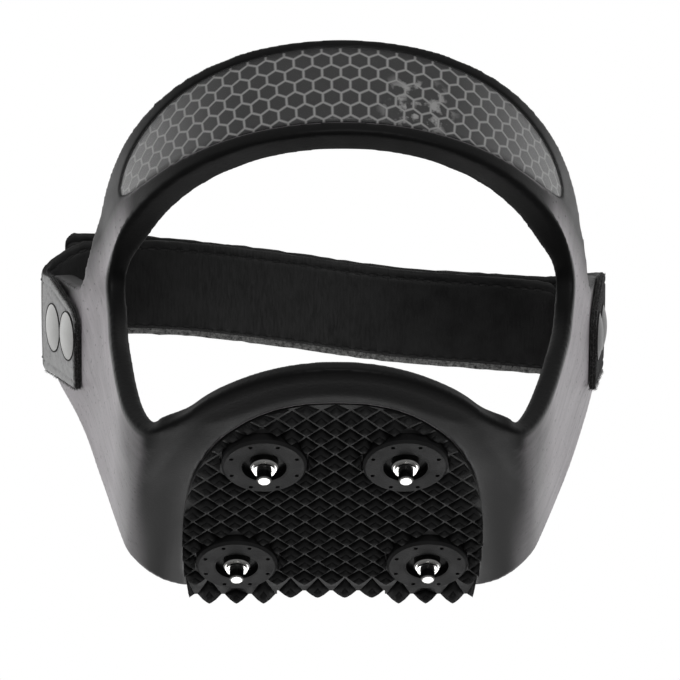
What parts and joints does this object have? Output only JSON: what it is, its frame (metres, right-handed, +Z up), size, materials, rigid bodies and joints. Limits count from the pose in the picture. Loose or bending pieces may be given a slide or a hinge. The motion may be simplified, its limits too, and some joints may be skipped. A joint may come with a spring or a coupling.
{
  "type": "heel ice spur",
  "caption": "Slip-on heel ice spur: rubber harness with a studded tread pad, reflective heel loop and two overlapping instep straps.",
  "frame": {"origin": "middle of the heel seat, on its top face", "axes": "+Z up out of the heel seat, +Y towards the toe, +X to the wearer's right"},
  "size_m": [0.121, 0.0889, 0.0917],
  "materials": {
    "rubber_body": "satin moulded rubber",
    "tread_rubber": "satin moulded rubber with fine ridges",
    "disc_plastic": "matt moulded plastic",
    "stud_steel": "turned steel",
    "pin_steel": "ground hard metal",
    "reflective_sheet": "grey cells between light honeycomb lines",
    "clear_film": "clear gloss film",
    "strap_leather": "grained black leather with stitched edges",
    "hook_and_loop": "black pile",
    "rivet_metal": "nickel plated"
  },
  "bodies": {
    "harness": {"heel_harness": "rubber_body", "tread_pad": "tread_rubber", "stud_disc_rear_left": "disc_plastic", "stud_disc_rear_right": "disc_plastic", "stud_disc_front_left": "disc_plastic", "stud_disc_front_right": "disc_plastic", "stud_body_rear_left": "stud_steel", "stud_body_rear_right": "stud_steel", "stud_body_front_left": "stud_steel", "stud_body_front_right": "stud_steel", "stud_pin_rear_left": "pin_steel", "stud_pin_rear_right": "pin_steel", "stud_pin_front_left": "pin_steel", "stud_pin_front_right": "pin_steel", "reflective_sheet": "reflective_sheet", "clear_film": "clear_film", "left_strap_tab": "strap_leather", "right_strap_tab": "strap_leather", "rivet_cap_left_rear": "rivet_metal", "rivet_cap_left_front": "rivet_metal", "rivet_cap_right_rear": "rivet_metal", "rivet_cap_right_front": "rivet_metal", "rivet_post_left_rear": "rivet_metal", "rivet_post_left_front": "rivet_metal", "rivet_post_right_rear": "rivet_metal", "rivet_post_right_front": "rivet_metal"},
    "inner": {"inner_strap": "strap_leather", "loop_patch": "hook_and_loop"},
    "outer": {"outer_strap": "strap_leather", "hook_patch": "hook_and_loop"}
  },
  "joints": [
    {"name": "outer_strap_swing", "type": "hinge", "parent": "harness", "child": "outer", "pos_m": [0.0586, 0.02116, 0.06022], "axis": [0, 0.766, -0.6428], "range_deg": [0, 90]},
    {"name": "inner_strap_swing", "type": "hinge", "parent": "harness", "child": "inner", "pos_m": [-0.06004, 0.02043, 0.05935], "axis": [0, -0.766, 0.6428], "range_deg": [0, 11]}
  ],
  "couplings": [
    {"joint": "inner_strap_swing", "follows": "outer_strap_swing", "ratio": 0.12}
  ]
}
